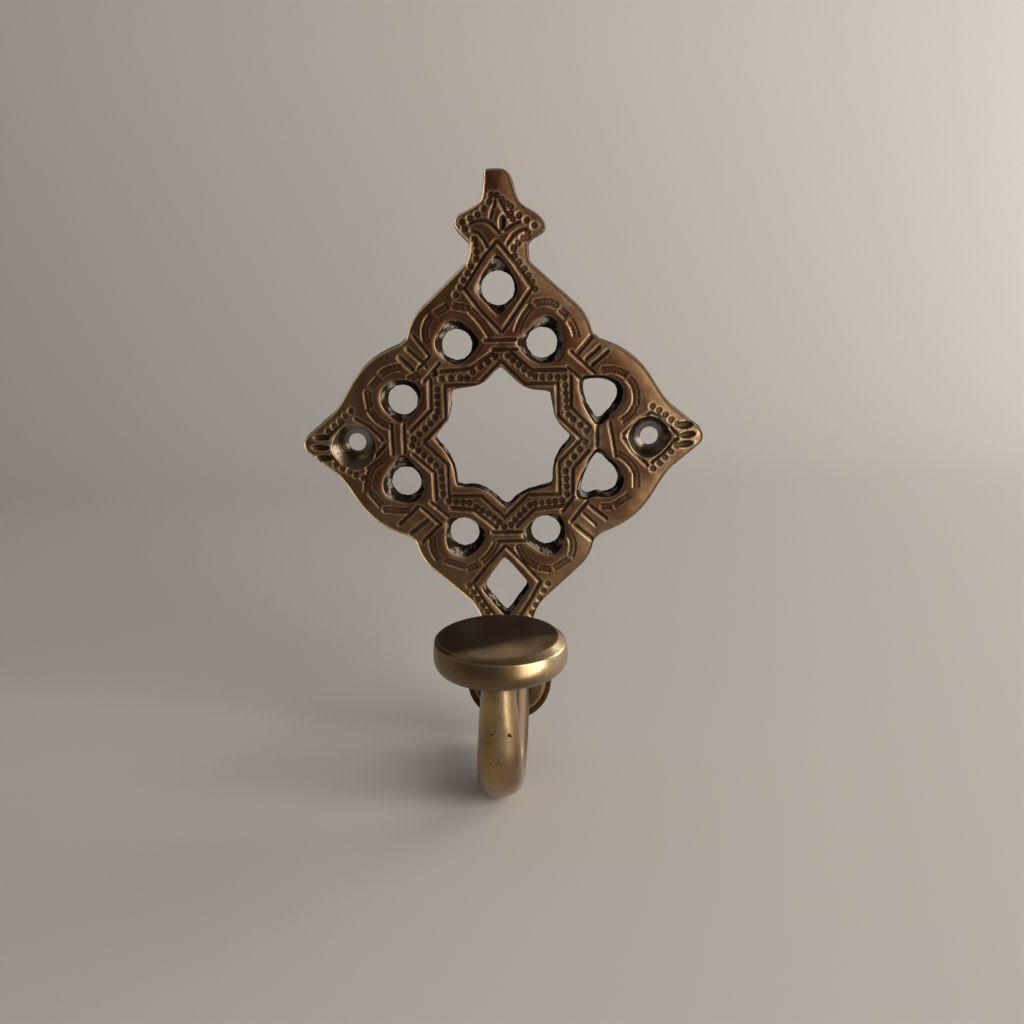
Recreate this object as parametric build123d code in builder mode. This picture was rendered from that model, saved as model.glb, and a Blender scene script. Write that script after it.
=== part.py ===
"""Wall hook cast in brass as one piece: a pierced back plate, a J-shaped arm and a thick disc end.

Millimetres. X runs across the plate, Z is up and the plate's front faces -Y. The back face lies on the
wall at y = 0, and the origin is midway between the two screw holes.
"""

import os
from math import acos, asin, atan2, cos, degrees, hypot, pi, radians, sin, sqrt, tan

from build123d import *

# Plate
plate_thickness = 4.4
plate_half_width = 50.0
side_bite = 2.9  # how far the edges of a side point cut into the side lobes
side_point_radius = 3.0
side_root_radius = 6.0
core_radius = 24.0
waist_radius = 2.2
flank_slope = 42.4  # lean from level of the edges towards the top and the bottom
edge_draft = 0.3  # how far the front outline stands inside the back one

# Pierced holes, one of each kind in every quarter of the plate
inner_hole_x = 10.4
inner_hole_z = 23.7
inner_rim = 8.9  # plate left outside the hole
side_hole_x = 24.5
side_hole_z = 10.3
side_rim = 8.3
hole_radius = 3.75
mouth_radius = 4.9
mouth_point = 7.0  # hole centre to the point of its teardrop mouth
mouth_depth = 2.6
mouth_floor = 3.4  # radius of the mouth's floor, inside the hole

# Star opening: two equal squares, one turned by 45 degrees
star_side = 24.0

# Diamond openings above and below the star
diamond_half_width = 5.3
top_diamond_z = 37.2
top_diamond_rise = 7.6
top_diamond_drop = 6.0
top_hole_radius = 4.1
bottom_diamond_z = -37.3
bottom_diamond_rise = 6.2
bottom_diamond_drop = 8.2
diamond_floor = 0.5  # size of the top diamond's floor, inside its round hole
diamond_back = 0.86  # size of the bottom diamond at the back

# Engraved lines
groove_width = 0.9
groove_depth = 0.5
star_inner_groove = 1.9  # star opening's edge to the middle of the groove
star_outer_groove = 5.0
diamond_frame_gap = 2.4  # diamond opening's edge to the middle of its frame
screw_frame_half = 7.0  # screw hole to a corner of its diamond frame
hash_count = 3
hash_distance = 30.8
hash_spacing = 2.5
hash_length = 4.8
cross_lines = [(27.3, 7.2), (24.4, 4.6)]  # distance from the star's centre, and length
link_spacing = 1.8
side_link_spacing = 3.4
leaf_lines = [  # right half of the finial's leaf, measured from the wings' upper edge
    [(0.6, 3.5), (2.8, -0.2)],
    [(6.0, -1.5), (3.3, -1.6), (0.9, -3.6)],
    [(6.4, -3.2), (4.7, -3.8), (2.5, -6.6)],
]
leaf_gouge_drop = 1.6
gouge_x = 45.6
gouge_spacing = 2.5
gouge_lean = 18.0
gouge_length = 4.4
gouge_width = 1.4

# Screw holes
screw_spacing = 73.4
screw_hole_radius = 2.25
countersink_radius = 5.4
countersink_angle = 90.0

# Finial at the top
finial_top_z = 65.0
finial_tip_half_width = 3.4
finial_tip_radius = 2.3
finial_shoulder_x = 4.8
finial_shoulder_z = 56.35
finial_shoulder_radius = 3.0
wing_tip_x = 11.2
wing_upper_z = 53.75
wing_lower_z = 50.1
wing_radius = 1.4
wing_slope = 39.0  # lean from level of the wing's lower edge
neck_radius = 3.0

# Round lobe at the bottom
lobe_z = -63.6
lobe_radius = 11.2
lobe_neck_half_width = 6.6

# Arm and disc
disc_reach = 42.6  # wall to the middle of the disc
disc_top_z = -37.1
disc_radius = 14.9
disc_thickness = 8.8
disc_dome = 0.6
disc_top_edge_radius = 1.5
disc_bottom_edge_radius = 3.8
bend_radius = 12.0
bend_z = -64.0
arm_root_width = 10.8
arm_bend_width = 11.0
arm_bend_depth = 9.6
stem_top_width = 8.1
lobe_step = 0.4  # flat left on the lobe outside the arm's fillet
stem_fillet = 1.6

# Values worked out from those above
quarters = [(1, 1), (1, -1), (-1, 1), (-1, -1)]
front_plane = Plane.XZ.offset(plate_thickness)
inner_lobe_radius = hole_radius + inner_rim
side_lobe_radius = hole_radius + side_rim
flank_x = inner_hole_x + inner_lobe_radius * sin(radians(flank_slope))
flank_z = inner_hole_z + inner_lobe_radius * cos(radians(flank_slope))
flank_apex_z = flank_z + flank_x * tan(radians(flank_slope))
bite_radius = side_lobe_radius - side_bite
side_tip_x = plate_half_width - side_point_radius
side_span = hypot(side_tip_x - side_hole_x, side_hole_z)
side_half_angle = atan2(side_hole_z, side_tip_x - side_hole_x)
side_half_angle += asin((bite_radius - side_point_radius) / side_span)
side_apex_x = plate_half_width + side_point_radius * (1 / sin(side_half_angle) - 1)
side_edge_x = side_hole_x + bite_radius * sin(side_half_angle)
side_edge_z = side_hole_z + bite_radius * cos(side_half_angle)
wing_rise = tan(radians(wing_slope))
neck_x = (flank_apex_z - wing_lower_z + wing_tip_x * wing_rise) / (wing_rise + tan(radians(flank_slope)))
neck_z = flank_apex_z - neck_x * tan(radians(flank_slope))
lobe_neck_top_z = -(flank_apex_z - lobe_neck_half_width * tan(radians(flank_slope)))
lobe_neck_foot_z = lobe_z + sqrt(lobe_radius**2 - lobe_neck_half_width**2)
pierced_holes = []  # place of each hole and the bearing of its partner
for sx, sz in quarters:
    pierced_holes.append((sx * inner_hole_x, sz * inner_hole_z, 90 + 90 * sx))
    pierced_holes.append((sx * side_hole_x, sz * side_hole_z, -90 * sz))
groove_edges = [(groove_width / 2, Mode.ADD), (-groove_width / 2, Mode.SUBTRACT)]
diamonds = [  # middle, rise, drop, share of its size at its narrow end, and depth of that end
    (top_diamond_z, top_diamond_rise, top_diamond_drop, diamond_floor, mouth_depth),
    (bottom_diamond_z, bottom_diamond_rise, bottom_diamond_drop, diamond_back, plate_thickness),
]


def diamond_corners(rise, drop, half_width):
    """Corners of a diamond whose widest line passes through the middle."""
    return [(0, rise), (-half_width, 0), (0, -drop), (half_width, 0)]


def framed(rise, drop, gap):
    """Corners of a diamond opening moved out, so that every side stands off by the gap."""
    upper = gap * hypot(rise, diamond_half_width)
    lower = gap * hypot(drop, diamond_half_width)
    top = rise + upper / diamond_half_width
    bottom = drop + lower / diamond_half_width
    half_width = diamond_half_width + (upper + lower) / (rise + drop)
    middle = (upper / rise - lower / drop) * rise * drop / (rise + drop) / diamond_half_width
    return [(0, top), (-half_width, middle), (0, -bottom), (half_width, middle)]


def both_sides(x, z):
    """The point and its mirror image across the plate's middle line."""
    return [(x, z), (-x, z)]


with BuildSketch(Plane.XZ) as outline:
    Circle(core_radius)
    for sx, sz in quarters:
        with Locations((sx * inner_hole_x, sz * inner_hole_z)):
            Circle(inner_lobe_radius)
        with Locations((sx * side_hole_x, sz * side_hole_z)):
            Circle(side_lobe_radius)
    for side in (1, -1):
        with BuildLine():
            Polyline(
                (side * side_apex_x, 0),
                (side * side_edge_x, side_edge_z),
                (side * side_hole_x, side_hole_z),
                (side * side_hole_x, -side_hole_z),
                (side * side_edge_x, -side_edge_z),
                close=True,
            )
        make_face()
        with BuildLine():
            Polyline(
                (0, side * flank_apex_z),
                (flank_x, side * flank_z),
                (inner_hole_x, side * inner_hole_z),
                (-inner_hole_x, side * inner_hole_z),
                (-flank_x, side * flank_z),
                close=True,
            )
        make_face()
    with BuildLine():
        finial_edge = FilletPolyline(
            (0, finial_top_z),
            (finial_tip_half_width, finial_top_z),
            (finial_shoulder_x, finial_shoulder_z),
            (wing_tip_x, wing_upper_z),
            (wing_tip_x, wing_lower_z),
            (neck_x, neck_z),
            radius=[finial_tip_radius, finial_shoulder_radius, wing_radius, wing_radius],
        )
        Polyline(finial_edge @ 1, (0, neck_z), finial_edge @ 0)
    finial_half = make_face()
    mirror(finial_half, about=Plane.YZ)
    with Locations((0, lobe_z)):
        Circle(lobe_radius)
    with Locations((0, (lobe_z - inner_hole_z) / 2)):
        Rectangle(2 * lobe_neck_half_width, abs(lobe_z + inner_hole_z))
    rounded_corners = [
        (both_sides(side_apex_x, 0), side_point_radius),
        (both_sides(neck_x, neck_z), neck_radius),
        (both_sides(lobe_neck_half_width, lobe_neck_top_z), neck_radius),
        (both_sides(lobe_neck_half_width, lobe_neck_foot_z), neck_radius),
    ]
    for sz in (1, -1):
        waist = (inner_hole_x + inner_lobe_radius, sz * (side_hole_z + side_lobe_radius))
        side_root = (side_hole_x + side_lobe_radius, sz * side_hole_z)
        rounded_corners.append((both_sides(*waist), waist_radius))
        rounded_corners.append((both_sides(*side_root), side_root_radius))
    for points, radius in rounded_corners:
        for point in points:
            fillet(outline.vertices().sort_by_distance(point)[0], radius=radius)

# Arm's middle line: straight from the lobe, round the bend, then up the stem to the disc
bend_y = -(disc_reach - bend_radius)
root_distance = hypot(-plate_thickness - bend_y, lobe_z - bend_z)
root_bearing = atan2(lobe_z - bend_z, -plate_thickness - bend_y)
bend_start = root_bearing - acos(bend_radius / root_distance)
arm_lean = pi / 2 + bend_start
root_y = arm_root_width / 2
root_z = lobe_z + (plate_thickness + root_y) * tan(arm_lean)
root_half_height = arm_root_width / 2 / cos(arm_lean)
arm_root_fillet = (lobe_radius - edge_draft - root_half_height - lobe_step) * tan(pi / 4 - arm_lean / 2)
disc_bottom_z = disc_top_z - disc_thickness
disc_edge_z = disc_top_z - disc_dome
disc_rim_y = disc_radius - disc_reach
with BuildLine(Plane.YZ) as arm_path:
    bend = CenterArc((bend_y, bend_z), bend_radius, degrees(bend_start), -180 - degrees(bend_start))
    Line((root_y, root_z), bend @ 0)
    Line(bend @ 1, (-disc_reach, disc_bottom_z + disc_thickness / 2))

with BuildPart() as wall_hook:
    # Plate with drafted edges
    with BuildSketch(Plane.XZ):
        add(outline.sketch_local)
    with BuildSketch(front_plane):
        add(outline.sketch_local)
        offset(amount=-edge_draft, mode=Mode.REPLACE)
    loft()

    # Arm: an oval section that tapers from the root to the disc
    arm_sections = [
        (0, arm_root_width, arm_root_width),
        (0.5, arm_bend_width, arm_bend_depth),
        (1, stem_top_width, stem_top_width),
    ]
    for share, width, depth in arm_sections:
        with BuildSketch(Plane(arm_path.line @ share, x_dir=(1, 0, 0), z_dir=arm_path.line % share)):
            Ellipse(width / 2, depth / 2)
    sweep(path=arm_path.line, multisection=True)
    split(bisect_by=Plane.XZ)

    # Disc end: half of its section turned about the stem's axis, with a domed top and rounded edges
    with BuildSketch(Plane.YZ) as disc_section:
        with BuildLine():
            dome = ThreePointArc(
                (disc_rim_y, disc_edge_z),
                (-disc_reach, disc_top_z),
                (-2 * disc_reach - disc_rim_y, disc_edge_z),
            )
            Polyline(
                dome @ 0,
                (disc_rim_y, disc_bottom_z),
                (-2 * disc_reach - disc_rim_y, disc_bottom_z),
                dome @ 1,
            )
        make_face()
        for rim_z, radius in ((disc_edge_z, disc_top_edge_radius), (disc_bottom_z, disc_bottom_edge_radius)):
            for rim_y in (disc_rim_y, -2 * disc_reach - disc_rim_y):
                fillet(disc_section.vertices().sort_by_distance((rim_y, rim_z))[0], radius=radius)
        with Locations((-disc_reach - disc_radius, disc_bottom_z)):
            Rectangle(2 * disc_radius, 4 * disc_thickness, mode=Mode.SUBTRACT)
    revolve(axis=Axis((0, -disc_reach, 0), (0, 0, 1)))

    # Fillets where the arm leaves the lobe and where the stem meets the disc
    arm_joins = [
        ((0, -plate_thickness, lobe_z + root_half_height), arm_root_fillet),
        ((0, -disc_reach + stem_top_width / 2, disc_bottom_z), stem_fillet),
    ]
    for point, radius in arm_joins:
        fillet(wall_hook.edges().sort_by_distance(point)[0], radius=radius)

    # Star, round holes and screw holes, cut right through
    with BuildSketch(Plane.XZ):
        Rectangle(star_side, star_side)
        Rectangle(star_side, star_side, rotation=45)
        with Locations(*[(x, z) for x, z, bearing in pierced_holes]):
            Circle(hole_radius)
        with Locations((0, top_diamond_z)):
            Circle(top_hole_radius)
    extrude(amount=plate_thickness, mode=Mode.SUBTRACT)
    with Locations(front_plane):
        with GridLocations(screw_spacing, 1, 2, 1):
            CounterSinkHole(
                screw_hole_radius,
                countersink_radius,
                depth=plate_thickness,
                counter_sink_angle=countersink_angle,
            )

    # Teardrop mouths that narrow to the round holes, each pointing at its partner
    for x, z, bearing in pierced_holes:
        for depth, radius, point in ((0, mouth_radius, mouth_point), (mouth_depth, mouth_floor, hole_radius)):
            spread = degrees(acos(radius / point))
            tip = (x + point * cos(radians(bearing)), z + point * sin(radians(bearing)))
            with BuildSketch(front_plane.offset(-depth)):
                with BuildLine():
                    round_end = CenterArc((x, z), radius, bearing + spread, 360 - 2 * spread)
                    Polyline(round_end @ 1, tip, round_end @ 0)
                make_face()
        loft(mode=Mode.SUBTRACT)

    # Diamond openings: the top one narrows to its round hole, the bottom one goes right through
    for middle_z, rise, drop, back_share, depth in diamonds:
        for share, distance in ((1, 0), (back_share, depth)):
            with BuildSketch(front_plane.offset(-distance)):
                with Locations((0, middle_z)):
                    corners = diamond_corners(rise * share, drop * share, diamond_half_width * share)
                    Polygon(*corners, align=None)
        loft(mode=Mode.SUBTRACT)

    # Engraved lines
    with BuildSketch(front_plane):
        for gap in (star_outer_groove, star_inner_groove):
            for edge, mode in groove_edges:
                side = star_side + 2 * (gap + edge)
                Rectangle(side, side, mode=mode)
                Rectangle(side, side, rotation=45, mode=mode)
    extrude(amount=-groove_depth, mode=Mode.SUBTRACT)
    with BuildSketch(front_plane):
        for middle_z, rise, drop, back_share, depth in diamonds:
            for edge, mode in groove_edges:
                with Locations((0, middle_z)):
                    Polygon(*framed(rise, drop, diamond_frame_gap + edge), align=None, mode=mode)
        for middle_x in (screw_spacing / 2, -screw_spacing / 2):
            for edge, mode in groove_edges:
                reach = screw_frame_half + edge * sqrt(2)
                with Locations((middle_x, 0)):
                    Polygon(*diamond_corners(reach, reach, reach), align=None, mode=mode)
        with PolarLocations(hash_distance, 4, start_angle=45):
            with GridLocations(1, hash_spacing, 1, hash_count):
                Rectangle(hash_length, groove_width)
        for distance, length in cross_lines:
            with PolarLocations(distance, 4, start_angle=45):
                Rectangle(groove_width, length)
        for sign in (1, -1):
            with Locations((0, sign * inner_hole_z)):
                with GridLocations(1, link_spacing, 1, 2):
                    Rectangle(2 * (inner_hole_x - mouth_point) + groove_width, groove_width)
            with Locations((sign * side_hole_x, 0)):
                with GridLocations(side_link_spacing, 1, 2, 1):
                    Rectangle(groove_width, 2 * (side_hole_z - mouth_point) + groove_width)
            for height, lean in ((0, 0), (gouge_spacing, gouge_lean), (-gouge_spacing, -gouge_lean)):
                with Locations((sign * gouge_x, height)):
                    Ellipse(gouge_length / 2, gouge_width / 2, rotation=-sign * lean)
        with BuildLine():
            for points in leaf_lines:
                for sign in (1, -1):
                    Polyline(*[(sign * x, wing_upper_z + z) for x, z in points])
        trace(line_width=groove_width)
        with Locations((0, wing_upper_z - leaf_gouge_drop)):
            Ellipse(gouge_width / 2, gouge_length / 2)
    extrude(amount=-groove_depth, mode=Mode.SUBTRACT)

os.makedirs("parts", exist_ok=True)
wall_hook.part.label = "wall_hook"
export_step(wall_hook.part, "parts/wall_hook.step")
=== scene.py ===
"""Looks of the wall hook: one aged cast-brass piece over its CAD frame.

Shapes are worked out in millimetres with numpy and put into one closed mesh. X runs across the
plate, Z is up, the plate's front faces -Y and its back lies at y = 0, as in the frame.
"""

import math

import bpy
import numpy as np
from mathutils import Matrix, Vector
from mathutils.geometry import delaunay_2d_cdt


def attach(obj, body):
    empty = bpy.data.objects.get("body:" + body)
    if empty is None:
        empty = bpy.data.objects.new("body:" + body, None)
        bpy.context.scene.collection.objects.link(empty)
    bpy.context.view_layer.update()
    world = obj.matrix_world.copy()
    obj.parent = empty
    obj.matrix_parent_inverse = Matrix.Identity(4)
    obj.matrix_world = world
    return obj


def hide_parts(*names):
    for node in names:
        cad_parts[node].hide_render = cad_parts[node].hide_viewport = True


MM = 0.001

# Plate: its thickness and rounded edges, each of which ends in a brow, and how its front falls away to
# the outline, on the lobe and at the openings
THICKNESS = 4.4
DRAFT = 0.3
FRONT_EDGE = 0.35
BROW_REACH = 0.85
PILLOW_WIDTH = 5.5
PILLOW_DROP = 0.58
LOBE_EDGE = 2.6
LOBE_DROP = 1.6
LOBE_FROM = -50
LOBE_BY = -54
RIM_WIDTH = 0.8
RIM_DROP = 0.16
BROW_DEPTH = 0.04

# Front's grid: the size of a cell and the area it covers
GRID = 0.29
GRID_SIDE = 51
GRID_BOTTOM = -76
GRID_TOP = 66

# Outline: a core, lobes round the pierced holes (middle and radius), flanks, side points, a neck
CORE_RADIUS = 24
INNER_LOBE = (10.4, 23.7, 12.65)
SIDE_LOBE = (24.5, 10.3, 12.05)
FLANK_ANGLE = 42.4
POINT_X = 47
POINT_ROUND = 3
POINT_HALF_ANGLE = 39
NECK_HALF_WIDTH = 6.6
NECK_TOP = -40
NECK_FOOT = -62
WING_FILLET = 6
WAIST_FILLET = 2.2
FINIAL_FILLET = 2.6
NECK_FILLET = 3

# Holes
HOLE_RADIUS = 3.75
SCREW_X = 36.7
SCREW_RADIUS = 2.25
FUNNEL_DEPTH = 3.1

# Lobe and arm: sizes, the waist in its stem, the spacing of its rings, the run by which they stand square
# across its path, how far it leans aside at shares of its length, and what follows from these
LOBE_Z = -63.6
LOBE_RADIUS = 11.2
REACH = 42.6
BEND_RADIUS = 12.0
BEND_Z = -64.0
ROOT_RADIUS = 5.4
ROOT_FILLET = 2.6
BEND_HALF_WIDTH = 5.5
BEND_HALF_DEPTH = 4.7
STEM_RADIUS = 4.05
STEM_FILLET = 1.6
STEM_WAIST = 0.3
STEM_WAIST_LEAN = 0.25
STEM_WAIST_FOOT = (-60, -52.5)
STEM_WAIST_HEAD = (-47.4, -49.5)
ARM_STEP = 0.85
SQUARE_BY = 11
LEAN_AT = (0, 0.55, 0.85, 1)
LEAN_BY = (0, -1.3, -0.85, -0.3)
ARM_ROOT_Y = -THICKNESS
BEND_Y = -(REACH - BEND_RADIUS)
ROOT_DISTANCE = math.hypot(ARM_ROOT_Y - BEND_Y, LOBE_Z - BEND_Z)
BEND_START = math.atan2(LOBE_Z - BEND_Z, ARM_ROOT_Y - BEND_Y) - math.acos(BEND_RADIUS / ROOT_DISTANCE)
ARM_LEAN = BEND_START + math.pi / 2
ROOT_WIDTH = ROOT_RADIUS + ROOT_FILLET
ROOT_HEIGHT = ROOT_RADIUS / math.cos(ARM_LEAN) + ROOT_FILLET

# Disc: sizes, its lean, the flat of its underside, and its bevel, widest at an angle in radians
DISC_TOP = -37.4
DISC_DOME = 0.35
DISC_BOTTOM = -45.9
DISC_RADIUS = 14.9
DISC_ROUND = 4
DISC_DRAW = 0.35
DISC_LEAN = 0.035
UNDERSIDE = (6.4, 10.6)
BEVEL = 1.05
BEVEL_SWING = 0.75
BEVEL_SLOPE = 0.75
FRONT_RIGHT = -0.6

# Engraving: depths, burrs beside the cuts, and the sizes of the punches and stamps
LINE_DEPTH = 0.45
LINE_BURR = 0.035
GOUGE_DEPTH = 0.75
GOUGE_BURR = 0.07
PUNCH_RADIUS = 0.52
PUNCH_HALF_WIDTH = 0.34
PUNCH_DEPTH = 0.34
PUNCH_BURR = 0.05
RAIL_PLACE = 0.62
RAIL_HALF_WIDTH = 0.32
RAIL_DEPTH = 0.3
RUNG_SPACING = 0.85
RUNG_DEPTH = 0.24
BED_DEPTH = 0.06
LADDER_BURR = 0.06
STAR_GROOVE = 13.9
BAND_WIDTH = 3.7
BAND_EDGE = 0.7
BAND_DROP = 0.16
BAND_DIRT = 0.17

# Wear on the rows behind an edge, from the rounded edge to the back: how far a row is on the wall
# inside an opening, soot on the plate's sides, and bright metal along the edges
WALL_SHARE = (0, 0.5, 1, 1, 1)
SIDE_SOOT = (0, 0, 0.4, 0.5, 0.5)
EDGE_BRIGHT = (1, 0.8, 0, 0, 0)
BACK_SOOT = 0.14

# Depth of a cut that is full of dirt, height of a burr that is rubbed bright, and painted shade, with a
# painted dim reflection on the disc's top: how much of it is on the disc's side, the lobe and the arm's
# root, the line on the disc's top behind which the reflection starts, and the rings of the arm between
# which it ends
FULL_DIRT = 0.4
FULL_BURR = 0.06
SIDE_SHADE = 0.5
LOBE_SHADE = 0.7
ROOT_SHADE = 0.8
SHADE_LINE_Y = -47.9
SHADE_LINE_SLOPE = 0.485
SHADE_LAST_RINGS = (38, 26)
OFF_PLATE_Y = -20

# Marks of wear that the mesh carries for its material, painted shade and painted highlights among them
MARKS = ("cut", "burr", "outer", "wall", "rubbed", "turned", "dark")

# Stage: a floor that sweeps up into a backdrop
FLOOR_Z = -80.8
FLOOR_FRONT = -116
FLOOR_SIDE = 1600.0
SWEEP_RADIUS = 300
BACKDROP_Y = 650
BACKDROP_TOP = 1500

# Camera: its place, its pitch, yaw and roll in degrees, and its focal length in widths of the picture
CAMERA_PLACE = (11.0, -260.2, 38.0)
CAMERA_TURN = (12.38, -2.02, -1.58)
CAMERA_FOCUS = 1040 / 1024
SENSOR = 36

# Front rims of the openings, as they are filed by hand: corners, middle, and what is behind. A number
# over 1 is the radius of a round hole at the back, and one below 1 is the rim's own shape at that size.
# The two screw holes come last.
OPENINGS = {
    "star": (
        [(0.3, 18.1), (1.9, 16.6), (3.8, 14.7), (5.4, 13.3), (8, 12.3), (11, 12.1), (12.3, 11.6),
         (12.5, 10.2), (12.8, 8), (13.3, 5.4), (14.6, 3.2), (16.3, 1.6), (17.3, 0.5), (16.3, -0.9),
         (14.6, -2.7), (13.4, -4.9), (12.6, -8), (12.5, -10.4), (12.2, -11.6), (10.6, -12), (8, -12.6),
         (5.4, -13.4), (3.2, -14.8), (1.6, -16.3), (0.6, -16.9), (-0.6, -16), (-2.2, -14.4),
         (-4, -12.9), (-6, -11.9), (-8, -11.5), (-10.6, -11.6), (-11.8, -11.1), (-12, -9.4),
         (-12.3, -6.5), (-13.3, -4.2), (-14.8, -1.8), (-16.4, 0), (-17, 0.9), (-16.4, 2), (-15, 3.4),
         (-13.5, 5.2), (-12.8, 8), (-12.6, 10.6), (-12.4, 12.2), (-11.6, 12.8), (-10, 13.1),
         (-8, 13.3), (-5.5, 13.7), (-3.8, 14.7), (-2, 16.4), (-0.4, 18)],
        (0, 0), 0.985),
    "inner_upper_right": (
        [(4, 24), (5.8, 25.6), (8, 27.4), (10, 29.5), (12.2, 30.3), (14.2, 28.9), (15.3, 26.2),
         (15.3, 22.4), (14.2, 19.6), (11.2, 18.6), (8.2, 19.2), (5.6, 21.6)],
        (10.4, 23.7), HOLE_RADIUS),
    "inner_upper_left": (
        [(-4.6, 24), (-6, 26.4), (-8, 28.6), (-10.5, 29.9), (-12.9, 29.3), (-14.1, 27.4),
         (-15.7, 25.4), (-15.7, 23), (-14.3, 20.8), (-12, 19.3), (-10, 19), (-7.8, 20.4), (-5.8, 22.4)],
        (-10.6, 23.7), HOLE_RADIUS),
    "side_upper_right": (
        [(23.8, 2.8), (21.9, 5.4), (20.3, 8.4), (19.4, 11.5), (19.3, 14.6), (20.6, 15.6), (23.5, 15.5),
         (26.6, 15.3), (29.4, 13.6), (30.3, 11), (28.9, 7.8), (26.4, 5)],
        (24.3, 10.6), 0.78),
    "side_lower_right": (
        [(24, -2.1), (26.2, -4.4), (28.7, -7), (30.2, -9.4), (30, -12), (28.3, -14.4), (25.5, -15),
         (22.6, -14.5), (20.6, -15.5), (18.4, -15), (18.2, -13), (19.3, -9.6), (20.9, -6),
         (22.5, -3.4)],
        (24.2, -10.4), 0.78),
    "side_upper_left": (
        [(-25, 4.5), (-27.5, 6.5), (-29.2, 8.5), (-30, 11), (-29.3, 13.4), (-27.4, 15.2),
         (-24.8, 15.6), (-22.1, 15.3), (-20.2, 13.9), (-19.7, 11.5), (-20.7, 8.9), (-22.6, 6.4)],
        (-24.7, 10.4), HOLE_RADIUS),
    "side_lower_left": (
        [(-25.3, -2.6), (-23.1, -4.6), (-21, -6.9), (-19.8, -9.8), (-20.2, -12.8), (-21.9, -15),
         (-24.4, -15.5), (-26.8, -14.8), (-29.4, -13.9), (-30.5, -11), (-29.6, -8.2), (-27.5, -5.4)],
        (-24.7, -10.3), HOLE_RADIUS),
    "inner_lower_left": (
        [(-4.4, -24.2), (-6.3, -21.6), (-8.6, -19.7), (-11.4, -19.3), (-14.7, -19.8), (-14.6, -22.4),
         (-15, -25), (-14.5, -27.6), (-12.7, -29.4), (-10.2, -29.9), (-7.7, -28.6), (-5.8, -26.5)],
        (-10.4, -23.8), HOLE_RADIUS),
    "inner_lower_right": (
        [(4.2, -24.4), (5.9, -21.9), (8, -19.9), (10.8, -18.9), (13.6, -19), (15.1, -21), (15.3, -24),
         (14.6, -27.2), (12.9, -29.6), (10.4, -29.5), (8.1, -28.2), (5.9, -26.4)],
        (10.4, -23.7), HOLE_RADIUS),
    "top_diamond": (
        [(-0.4, 44.8), (0.4, 44.8), (2.4, 42.3), (4.4, 38.6), (4.9, 36.8), (4.4, 35.3), (2.2, 32.6),
         (0.4, 30.7), (-0.4, 30.7), (-2.6, 33.2), (-4.8, 35.6), (-5.3, 37), (-4.6, 39), (-2.4, 42.2)],
        (-0.1, 37.1), 4.1),
    "bottom_diamond": (
        [(-0.6, -30.2), (0.2, -30.2), (2.6, -33), (5.4, -36.5), (6, -37.6), (5.5, -38.8), (2.8, -42.3),
         (0.5, -45.7), (-0.5, -45.7), (-3, -42.6), (-5.7, -39.2), (-6.2, -38), (-5.6, -36.8),
         (-3, -33.2)],
        (0, -37.8), 0.88),
    "screw_right": (
        [(42.3, 0.2), (40.6, 2.9), (38.4, 5), (35.6, 5.3), (33, 4), (31.3, 1.4), (31.3, -1.4),
         (32.9, -4), (35.6, -5.3), (38.3, -4.7), (40.7, -2.4)],
        (SCREW_X, 0), SCREW_RADIUS),
    "screw_left": (
        [(-43, -1.4), (-41.8, 1.6), (-39.8, 4.2), (-37, 4.9), (-34, 4), (-32.1, 1.6), (-31.5, -1.4),
         (-32.6, -4.4), (-35, -6.4), (-38, -6.6), (-40.6, -5)],
        (-SCREW_X, 0), SCREW_RADIUS),
}

# Edges of the front in the order of plate_fields: the outline, the arm's root and the openings
ON_OUTLINE = 0
ON_ROOT = 1
FIRST_OPENING = 2
FIRST_SCREW = FIRST_OPENING + len(OPENINGS) - 2

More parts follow.
